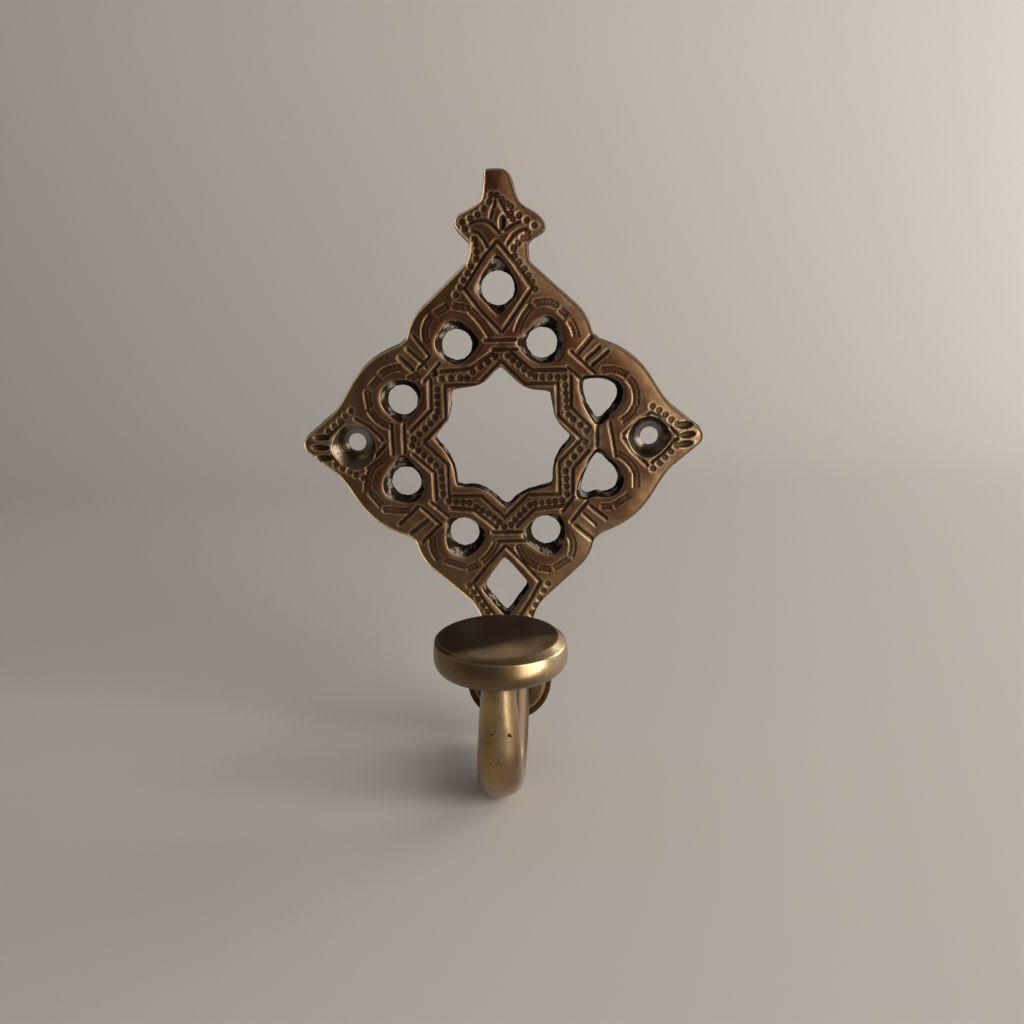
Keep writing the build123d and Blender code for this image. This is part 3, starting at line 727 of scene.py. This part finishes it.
def arm_rows(angle):
    """Rings of the arm and disc at the given angles round it, each place with how far it is rubbed
    bright or painted with a highlight. Out of the lobe each ring shrinks as a quarter circle does; along
    the straight, the bend and the stem an oval stands across the path, its half widths a curve through
    those at the root, the middle and the top, and its sides have five long facets; the stem has a
    slight waist and a painted highlight down its front right; the whole leans a little to the left."""
    c, s = np.cos(angle), np.sin(angle)
    rows = []
    for turn in np.linspace(0, math.pi / 2, 8)[1:]:
        spare = ROOT_FILLET * (1 - math.sin(turn))
        out = ROOT_FILLET * (1 - math.cos(turn))
        middle_z = LOBE_Z - out * math.tan(ARM_LEAN)
        height = ROOT_RADIUS / math.cos(ARM_LEAN) + spare
        rows.append((c * (ROOT_RADIUS + spare), ARM_ROOT_Y - out + 0 * c, middle_z + s * height, 0 * c))
    straight = math.sqrt(ROOT_DISTANCE**2 - BEND_RADIUS**2)
    sweep = math.pi + BEND_START
    stem = DISC_BOTTOM - STEM_FILLET - BEND_Z
    total = straight + sweep * BEND_RADIUS + stem
    for run in np.arange(ROOT_FILLET / math.cos(ARM_LEAN), total, ARM_STEP)[1:]:
        share = run / total
        bearing = BEND_START - np.clip((run - straight) / BEND_RADIUS, 0, sweep)
        lead = min(run - straight, 0)
        rise = max(run - straight - sweep * BEND_RADIUS, 0)
        along_y, along_z = math.sin(bearing), -math.cos(bearing)
        middle_y = BEND_Y + BEND_RADIUS * math.cos(bearing) + lead * along_y
        middle_z = BEND_Z + BEND_RADIUS * math.sin(bearing) + lead * along_z + rise
        weights = (1 - share) * (1 - 2 * share), 4 * share * (1 - share), share * (2 * share - 1)
        wide = np.dot(weights, (ROOT_RADIUS, BEND_HALF_WIDTH, STEM_RADIUS))
        deep = np.dot(weights, (ROOT_RADIUS, BEND_HALF_DEPTH, STEM_RADIUS))
        square = float(step(run, ROOT_FILLET, SQUARE_BY))
        up_y, up_z = square * along_z, 1 - square - square * along_y
        size = math.hypot(up_y, up_z)
        up_y, up_z = up_y / size, up_z / size
        deep = deep / (up_y * along_z - up_z * along_y)
        waist = step(middle_z, *STEM_WAIST_FOOT) * step(middle_z, *STEM_WAIST_HEAD) * (rise > 0)
        wide = wide - STEM_WAIST * waist
        lean = np.interp(share, LEAN_AT, LEAN_BY) - STEM_WAIST_LEAN * waist
        facet = 1 - 0.012 * (1 + np.sin(5 * angle + 1.1 + 2 * share)) * step(share, 0.1, 0.5)
        out = s * deep * facet
        # Painted highlight down the stem's front right, where the window lamp's reflection falls
        wear_and_highlight = 0.9 * bell(angle + 1.15, 0.38) * step(share, 0.62, 0.8)
        rows.append((lean + c * wide * facet, middle_y + out * up_y, middle_z + out * up_z, wear_and_highlight))
    return np.array(rows + disc_rows(angle)).transpose(0, 2, 1)


def row_numbers(front, at, first, rows):
    """Numbers of the vertices in rows that start from the front, by front vertex: the front's own,
    then for each row new ones, counted on from the first, for the vertices that the rows start
    from."""
    numbers = np.full((rows + 1, front), -1)
    numbers[0] = np.arange(front)
    numbers[1:, at] = first + np.arange(rows * len(at)).reshape(rows, -1)
    return numbers


def strip(rim, rows):
    """Faces of a wall: for each edge of the rim and each pair of rows, one quad. Rows hold the
    numbers of the vertices by front vertex."""
    a, b = rim.T
    pairs = zip(rows, rows[1:])
    return np.concatenate([np.stack([up[b], up[a], down[a], down[b]], 1) for up, down in pairs])


def on_metal(x, z, points, edges):
    """Whether each point is on the back's metal: an odd count of its edges crosses a level ray from
    it."""
    start, end = points[edges[:, 0]], points[edges[:, 1]]
    spans = (start[:, 1] > z[:, None]) != (end[:, 1] > z[:, None])
    rise = np.where(end[:, 1] == start[:, 1], 1e-9, end[:, 1] - start[:, 1])
    at = start[:, 0] + (z[:, None] - start[:, 1]) * (end[:, 0] - start[:, 0]) / rise
    return (spans & (x[:, None] < at)).sum(1) % 2 == 1


def back_triangles(points, edges):
    """Triangles of the flat back, as numbers of its points: the area that its edges enclose, filled
    between its own points, kept where it is metal and turned to face away from the front."""
    filled = delaunay_2d_cdt([Vector(p) for p in points], edges.tolist(), [], 1, 1e-7)
    triangles = np.array([face for face in filled[2] if len(face) == 3])
    source = np.array([origin[0] for origin in filled[3]])
    middle = np.array([tuple(p) for p in filled[0]])[triangles].mean(1)
    kept = triangles[on_metal(middle[:, 0], middle[:, 1], points, edges)]
    return source[kept][:, ::-1]


def wear_and_painted_light_marks(places, cut, burr, outer, wall, kind, arm, arm_wear_and_highlight):
    """Marks of wear and of painted light at each place, for the material: cuts that hold dirt, burrs
    and edges rubbed bright, with the painted highlights of the arm and disc in the same mark, nearness
    to the outline, sooty walls, the handled arm and disc, turned screw holes and painted shade, with a
    painted dim reflection on the rear of the disc's top. Wall and arm hold the numbers of the places in
    their rows, the walls' with the front's own edge first."""
    x, y, z = places.T
    front = len(cut)
    marks = {label: np.zeros(len(places)) for label in MARKS}
    marks["cut"][:front] = np.clip(cut / FULL_DIRT, 0, 1)
    marks["burr"][:front] = np.clip(burr / FULL_BURR, 0, 1)
    marks["outer"][:front] = outer
    in_screw = kind >= FIRST_SCREW
    in_opening = (kind >= FIRST_OPENING) & ~in_screw
    on_side = kind == ON_OUTLINE
    for here, inside, soot, bright in zip(wall[1:], WALL_SHARE, SIDE_SOOT, EDGE_BRIGHT):
        marks["wall"][here] = in_opening * inside + on_side * soot
        marks["burr"][here] = np.where(in_opening, 0.5, 1) * bright
        marks["turned"][here] = in_screw * inside
    raise_to(marks["burr"], wall[0], np.where(in_opening, 0.2, 0.5))
    # On the arm and disc this mark holds their rubbed edges and their painted highlights
    marks["burr"][arm] = arm_wear_and_highlight
    from_lobe = np.hypot(x[:front], z[:front] - LOBE_Z)
    marks["rubbed"][:front] = step(from_lobe, LOBE_RADIUS + 1, LOBE_RADIUS - 1)
    marks["rubbed"][arm] = 1
    marks["rubbed"][-1] = 1

    # Painted dim reflection on the rear of the disc's top, and painted shade on its side and neck,
    # on the lobe's flat and the arm's root
    off_plate = y < OFF_PLATE_Y
    on_top = off_plate & (z > DISC_TOP - 1.2)
    behind = y - SHADE_LINE_Y - SHADE_LINE_SLOPE * x + 0.7 * uneven(x, y, 21, 9)
    flank = step(z, DISC_BOTTOM - 9, DISC_BOTTOM - 1) * (off_plate & ~on_top)
    off_burr_mark = np.clip(1 - marks["burr"], 0, 1)
    marks["dark"] = (on_top * step(behind, -2.2, 1.6) + SIDE_SHADE * flank) * off_burr_mark
    lobe_flat = LOBE_RADIUS - LOBE_EDGE
    marks["dark"][:front] = LOBE_SHADE * step(from_lobe, lobe_flat + 0.4, lobe_flat - 0.2)
    marks["dark"][arm] += ROOT_SHADE * step(np.arange(len(arm)), *SHADE_LAST_RINGS)[:, None]
    return marks


def hook_mesh():
    """The whole hook as one closed mesh, with its marks of wear and painted light by face corner: the
    engraved front, the walls behind its edges, the arm with its disc out of the lobe, and the flat back
    between the walls."""
    x, z, quads, rim, edge = front_grid()
    relief, cut, burr, outer = front_relief(x, z)
    rows, kind = wall_rows(x[edge], z[edge], relief[edge])
    on_root = kind[np.searchsorted(edge, rim)].min(1) == ON_ROOT
    wall_rim, arm_rim = rim[~on_root], rim[on_root]
    wall_at, arm_at = np.unique(wall_rim), np.unique(arm_rim)
    wall_slot = np.searchsorted(edge, wall_at)
    arm = arm_rows(np.arctan2((z[arm_at] - LOBE_Z) / ROOT_HEIGHT, x[arm_at] / ROOT_WIDTH))
    front = np.stack([x, -(THICKNESS + relief), z], 1)
    disc_middle = [(0, -REACH, DISC_TOP)]
    places = np.concatenate([front, *rows[:, wall_slot], *arm[:, :, :3], disc_middle])
    wall = row_numbers(len(x), wall_at, len(x), len(rows))
    stem = row_numbers(len(x), arm_at, wall.max() + 1, len(arm))
    last = stem[-1][arm_rim]
    crown = np.stack([last[:, 1], last[:, 0], np.full(len(last), len(places) - 1)], 1)
    back_at = wall[-1, wall_at]
    back = back_at[back_triangles(places[back_at][:, [0, 2]], np.searchsorted(wall_at, wall_rim))]
    faces = [quads, strip(wall_rim, wall), strip(arm_rim, stem), crown, back]
    wall, stem = wall[:, wall_at], stem[1:, arm_at]
    marks = wear_and_painted_light_marks(places, cut, burr, outer, wall, kind[wall_slot], stem, arm[:, :, 3])
    corners = np.concatenate([group.ravel() for group in faces])
    marks = {label: values[corners] for label, values in marks.items()}
    for label, values in marks.items():
        values[-back.size :] = BACK_SOOT * (label == "wall")
    return places, faces, marks


def linear(code):
    """A hex colour in sRGB as linear red, green, blue and alpha."""
    parts = [int(code[i : i + 2], 16) / 255 for i in (1, 3, 5)]
    return [p / 12.92 if p <= 0.04045 else ((p + 0.055) / 1.055) ** 2.4 for p in parts] + [1.0]


def node(tree, kind, settings, inputs):
    """Adds a shader node, sets its properties, links or sets its inputs, which are named or
    numbered, and gives its outputs."""
    made = tree.nodes.new("ShaderNode" + kind)
    for name, value in settings.items():
        setattr(made, name, value)
    for name, value in inputs.items():
        if isinstance(value, bpy.types.NodeSocket):
            tree.links.new(value, made.inputs[name])
        else:
            made.inputs[name].default_value = value
    return made.outputs


def aged_brass():
    """Sand-cast brass under a brown patina, rubbed back by hand: burrs and edges show yellow metal,
    cuts stay darker with dirt, the filed walls of the openings are sooty and also deepened as painted
    shade, and the handled arm and disc are smoother and paler. Painted light is part of the colour: the
    plate is lighter towards the right, bright marks on the arm and disc are partly painted highlights,
    pale flecks on the walls are painted glints, and painted shade lies on the disc's side and neck, the
    lobe and the arm's root, with a painted dim reflection on the rear of the disc's top."""
    material = bpy.data.materials.new("aged_cast_brass")
    material.use_nodes = True
    tree = material.node_tree
    tree.nodes.clear()
    place = node(tree, "TexCoord", {}, {})["Object"]
    found = [node(tree, "Attribute", {"attribute_name": name}, {}) for name in MARKS]
    cut, burr, outer, wall, rubbed, turned, dark = (each["Fac"] for each in found)
    number, colour = {"data_type": "FLOAT"}, {"data_type": "RGBA"}
    times, plus = {"operation": "MULTIPLY"}, {"operation": "ADD"}

    # Clouds of patina a thumb's breadth across, mottling of a few millimetres and the casting's grain
    cloud = {"Vector": place, "Scale": 1 / (15 * MM), "Detail": 3}
    cloud = node(tree, "TexNoise", {}, cloud)["Fac"]
    mottle = {"Vector": place, "Scale": 1 / (2.8 * MM), "Detail": 4}
    mottle = node(tree, "TexNoise", {}, mottle)["Fac"]
    mottled = node(tree, "MapRange", {}, {0: mottle, 1: 0.4, 2: 0.72})[0]
    grain = {"Vector": place, "Scale": 1 / (0.5 * MM), "Detail": 3}
    grain = node(tree, "TexNoise", {}, grain)["Fac"]
    grained = node(tree, "MapRange", {}, {0: grain, 1: 0.2, 2: 0.5})[0]

    # Where the patina turns from red to a lighter olive: in clouds, to the right, which is painted light
    # from the window lamp's side, low on the plate and along its outline
    axes = node(tree, "SeparateXYZ", {}, {0: place})
    yellower = {0: axes[0], 1: 1.3, 2: cloud}
    yellower = node(tree, "Math", {"operation": "MULTIPLY_ADD"}, yellower)[0]
    clouded = node(tree, "MapRange", {}, {0: yellower, 1: 0.36, 2: 0.66})[0]
    lower = {0: axes[2], 1: -4.5, 2: yellower}
    lower = node(tree, "Math", {"operation": "MULTIPLY_ADD"}, lower)[0]
    edging = {0: outer, 1: 0.3, 2: lower}
    edging = node(tree, "Math", {"operation": "MULTIPLY_ADD"}, edging)[0]
    olive = node(tree, "MapRange", {}, {0: edging, 1: 0.4, 2: 0.78})[0]

    # Skin of the plate, darker where it is thick, and thinner towards the neck
    skin = {0: olive, 6: linear("#5b3927"), 7: linear("#7d6347")}
    skin = node(tree, "Mix", colour, skin)[2]
    amount = {0: axes[2], 1: -42 * MM, 2: -18 * MM, 3: 0.12, 4: 0.65}
    amount = node(tree, "MapRange", {}, amount)[0]
    thick = node(tree, "Math", times, {0: mottled, 1: amount})[0]
    skin = node(tree, "Mix", colour, {0: thick, 6: skin, 7: linear("#482c1c")})[2]

    # Paler arm and disc, polished by use
    handled = {0: clouded, 6: linear("#80623f"), 7: linear("#b09365")}
    handled = node(tree, "Mix", colour, handled)[2]
    skin = node(tree, "Mix", colour, {0: rubbed, 6: skin, 7: handled})[2]

    # Painted shade on the disc's side and neck, the lobe and the arm's root, and a painted dim reflection
    # on the rear of the disc's top
    skin = node(tree, "Mix", colour, {0: dark, 6: skin, 7: linear("#443022")})[2]

    # Yellow metal where burrs and edges were rubbed; on the arm and disc this also paints highlights
    wear_and_highlight = node(tree, "Math", times, {0: burr, 1: grained})[0]
    wear_and_highlight = node(tree, "Math", times, {0: wear_and_highlight, 1: 0.52})[0]
    skin = node(tree, "Mix", colour, {0: wear_and_highlight, 6: skin, 7: linear("#c9b48c")})[2]

    # Soot on the walls of the openings, its deep brown also standing in as painted shade, with pale flecks
    # that are painted glints, and dirt in the cuts
    painted_glints = node(tree, "Math", times, {0: mottled, 1: grained})[0]
    painted_glints = node(tree, "MapRange", {}, {0: painted_glints, 1: 0.3, 2: 0.75})[0]
    filed = {0: painted_glints, 6: linear("#241c16"), 7: linear("#8f8579")}
    filed = node(tree, "Mix", colour, filed)[2]
    skin = node(tree, "Mix", colour, {0: wall, 6: skin, 7: filed})[2]
    dirt = node(tree, "MapRange", {}, {0: cut, 1: 0.1, 2: 0.7, 3: 0.0, 4: 0.75})[0]
    skin = node(tree, "Mix", colour, {0: dirt, 6: skin, 7: linear("#2b1c12")})[2]

    # Cleaner metal in the countersinks
    skin = node(tree, "Mix", colour, {0: turned, 6: skin, 7: linear("#5c4b38")})[2]

    # Dull cast plate, brighter arm and disc, duller where shade is painted and on the walls, and bright
    # countersinks
    dull = node(tree, "MapRange", {}, {0: mottle, 1: 0.3, 2: 0.7, 3: 0.42, 4: 0.54})[0]
    bright = {0: mottle, 1: 0.3, 2: 0.7, 3: 0.24, 4: 0.32}
    bright = node(tree, "MapRange", {}, bright)[0]
    rough = node(tree, "Mix", number, {0: rubbed, 2: dull, 3: bright})[0]
    rough = node(tree, "Mix", number, {0: dark, 2: rough, 3: 0.44})[0]
    rough = node(tree, "Mix", number, {0: wall, 2: rough, 3: 0.5})[0]
    rough = node(tree, "Mix", number, {0: turned, 2: rough, 3: 0.27})[0]
    rougher = node(tree, "Math", times, {0: cut, 1: 0.2})[0]
    rough = node(tree, "Math", plus, {0: rough, 1: rougher})[0]

    # Casting pits half a millimetre across, here and there, and those on the stem
    pits = {"Vector": place, "Scale": 1 / (3 * MM)}
    pits = node(tree, "TexVoronoi", {}, pits)["Distance"]
    pits = node(tree, "MapRange", {}, {0: pits, 1: 0.06, 2: 0.1, 3: 1.0, 4: 0.0})[0]
    for middle, size in PITS:
        away = {0: place, 1: [part * MM for part in middle]}
        away = node(tree, "VectorMath", {"operation": "DISTANCE"}, away)["Value"]
        pit = {0: away, 1: 0.6 * size * MM, 2: size * MM, 3: 1.0, 4: 0.0}
        pit = node(tree, "MapRange", {}, pit)[0]
        pits = node(tree, "Math", {"operation": "MAXIMUM"}, {0: pits, 1: pit})[0]
    skin = node(tree, "Mix", colour, {0: pits, 6: skin, 7: linear("#2b1c12")})[2]

    # Rings left by the countersinking drill, 0.55 mm apart round each screw hole
    across = node(tree, "Math", {"operation": "ABSOLUTE"}, {0: axes[0]})[0]
    across = {0: across, 1: SCREW_X * MM}
    across = node(tree, "Math", {"operation": "SUBTRACT"}, across)[0]
    spoke = node(tree, "CombineXYZ", {}, {0: across, 2: axes[2]})[0]
    radius = node(tree, "VectorMath", {"operation": "LENGTH"}, {0: spoke})["Value"]
    phase = node(tree, "Math", times, {0: radius, 1: 2 * math.pi / (0.55 * MM)})[0]
    rings = node(tree, "Math", {"operation": "SINE"}, {0: phase})[0]
    rings = node(tree, "Math", times, {0: rings, 1: turned})[0]
    rings = node(tree, "Math", times, {0: rings, 1: 0.35})[0]

    # Relief a tenth of a millimetre deep: grain, mottling, pits and drill rings, calmer where hands rub
    height = node(tree, "Math", plus, {0: grain, 1: mottle})[0]
    hollow = node(tree, "Math", times, {0: pits, 1: -4.0})[0]
    height = node(tree, "Math", plus, {0: height, 1: hollow})[0]
    height = node(tree, "Math", plus, {0: height, 1: rings})[0]
    calm = node(tree, "Mix", number, {0: rubbed, 2: 0.25, 3: 0.04})[0]
    calm = node(tree, "Mix", number, {0: wall, 2: calm, 3: 0.8})[0]
    bump = {"Strength": calm, "Distance": 0.1 * MM, "Height": height}
    bump = node(tree, "Bump", {}, bump)[0]

    # Soot isn't metal. Wax and handling leave a thin clear glaze, least where shade is painted
    metal = node(tree, "MapRange", {}, {0: wall, 3: 1.0, 4: 0.0})[0]
    glaze = node(tree, "Mix", number, {0: rubbed, 2: 0.12, 3: 0.55})[0]
    glaze = node(tree, "Mix", number, {0: dark, 2: glaze, 3: 0.08})[0]
    glaze = node(tree, "Mix", number, {0: turned, 2: glaze, 3: 0.8})[0]
    glaze = node(tree, "Math", times, {0: glaze, 1: metal})[0]
    brass = {
        "Base Color": skin,
        "Roughness": rough,
        "Metallic": metal,
        "Specular IOR Level": 0.0,
        "Normal": bump,
        "Coat Weight": glaze,
        "Coat Roughness": 0.2,
    }
    shader = node(tree, "BsdfPrincipled", {}, brass)[0]
    node(tree, "OutputMaterial", {}, {"Surface": shader})
    return material


def put_mesh(name, places, faces, marks, material):
    """Puts arrays into a mesh object at the origin, smooth but for its flat back, which is the last
    group of faces. Marks go to face corners."""
    mesh = bpy.data.meshes.new(name)
    mesh.from_pydata((places * MM).tolist(), [], [face for group in faces for face in group.tolist()])
    smooth = np.ones(len(mesh.polygons), bool)
    smooth[-len(faces[-1]) :] = False
    mesh.polygons.foreach_set("use_smooth", smooth)
    for label, values in marks.items():
        mark = mesh.attributes.new(label, "FLOAT", "CORNER")
        mark.data.foreach_set("value", values.astype(np.float32))
    mesh.materials.append(material)
    piece = bpy.data.objects.new(name, mesh)
    bpy.context.scene.collection.objects.link(piece)
    return piece


def sweep_sheet():
    """Pale matt plaster floor that runs up into a backdrop: a straight, a quarter circle and a
    straight, carried across."""
    turn = np.linspace(0, math.pi / 2, 16)
    run = BACKDROP_Y - SWEEP_RADIUS + SWEEP_RADIUS * np.sin(turn)
    rise = SWEEP_RADIUS - SWEEP_RADIUS * np.cos(turn)
    y = np.concatenate([[FLOOR_FRONT], run, [BACKDROP_Y]])
    z = np.concatenate([[0], rise, [BACKDROP_TOP]]) + FLOOR_Z
    rows = np.array([np.stack([np.full(y.shape, side), y, z], 1) for side in (-FLOOR_SIDE, FLOOR_SIDE)])
    first = np.arange(len(y) - 1)
    quads = np.stack([first, first + len(y), first + len(y) + 1, first + 1], 1)
    mesh = bpy.data.meshes.new("floor")
    mesh.from_pydata((rows.reshape(-1, 3) * MM).tolist(), [], quads.tolist())
    mesh.polygons.foreach_set("use_smooth", np.ones(len(quads), bool))
    material = bpy.data.materials.new("pale_plaster")
    material.use_nodes = True
    shader = material.node_tree.nodes["Principled BSDF"]
    shader.inputs["Base Color"].default_value = linear("#cdc8c3")
    shader.inputs["Roughness"].default_value = 0.9
    mesh.materials.append(material)
    floor = bpy.data.objects.new("floor", mesh)
    bpy.context.scene.collection.objects.link(floor)
    return floor


def lamp(name, place, aim, wide, tall, power, tint):
    """An upright soft lamp at a place in metres, facing a point."""
    data = bpy.data.lights.new(name, "AREA")
    data.shape = "RECTANGLE"
    data.size = wide
    data.size_y = tall
    data.energy = power
    data.color = linear(tint)[:3]
    made = bpy.data.objects.new(name, data)
    made.location = place
    made.rotation_euler = (Vector(aim) - Vector(place)).to_track_quat("-Z", "Y").to_euler()
    bpy.context.scene.collection.objects.link(made)


def photo_camera():
    """Camera at the photograph's viewpoint: a little above the middle, looking down and slightly
    turned."""
    pitch, yaw, roll = (math.radians(angle) for angle in CAMERA_TURN)
    ahead = Vector((math.sin(yaw) * math.cos(pitch), math.cos(yaw) * math.cos(pitch), -math.sin(pitch)))
    level = ahead.cross(Vector((0, 0, 1))).normalized()
    upright = level.cross(ahead)
    right = level * math.cos(roll) + upright * math.sin(roll)
    up = upright * math.cos(roll) - level * math.sin(roll)
    data = bpy.data.cameras.new("camera")
    data.sensor_width = SENSOR
    data.lens = SENSOR * CAMERA_FOCUS
    data.clip_start = 0.01
    made = bpy.data.objects.new("camera", data)
    turn = Matrix((right, up, -ahead)).transposed().to_4x4()
    made.matrix_world = Matrix.Translation(Vector(CAMERA_PLACE) * MM) @ turn
    bpy.context.scene.collection.objects.link(made)
    bpy.context.scene.camera = made


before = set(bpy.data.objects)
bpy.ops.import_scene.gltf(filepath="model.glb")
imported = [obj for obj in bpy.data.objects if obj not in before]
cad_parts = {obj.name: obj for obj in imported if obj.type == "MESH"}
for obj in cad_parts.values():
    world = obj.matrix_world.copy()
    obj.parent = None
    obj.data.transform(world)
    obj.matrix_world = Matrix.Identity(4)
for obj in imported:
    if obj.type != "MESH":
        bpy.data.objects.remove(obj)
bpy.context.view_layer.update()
scene = bpy.context.scene
scene.view_settings.view_transform = "Standard"

hook = put_mesh("cast_wall_hook", *hook_mesh(), aged_brass())
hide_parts("wall_hook")
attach(hook, "root")

sweep_sheet()
lamp("window", (0.62, -0.46, 0.0), (0, 0, 0), 0.6, 1.0, 12.5, "#fffaf3")
lamp("side", (0.76, 0.46, 0.2), (0, 0, -0.02), 0.7, 0.7, 5.0, "#fffcf8")
world = bpy.data.worlds.new("room")
scene.world = world
world.use_nodes = True
background = world.node_tree.nodes["Background"]
background.inputs["Color"].default_value = linear("#d4d1ce")
background.inputs["Strength"].default_value = 0.28
photo_camera()
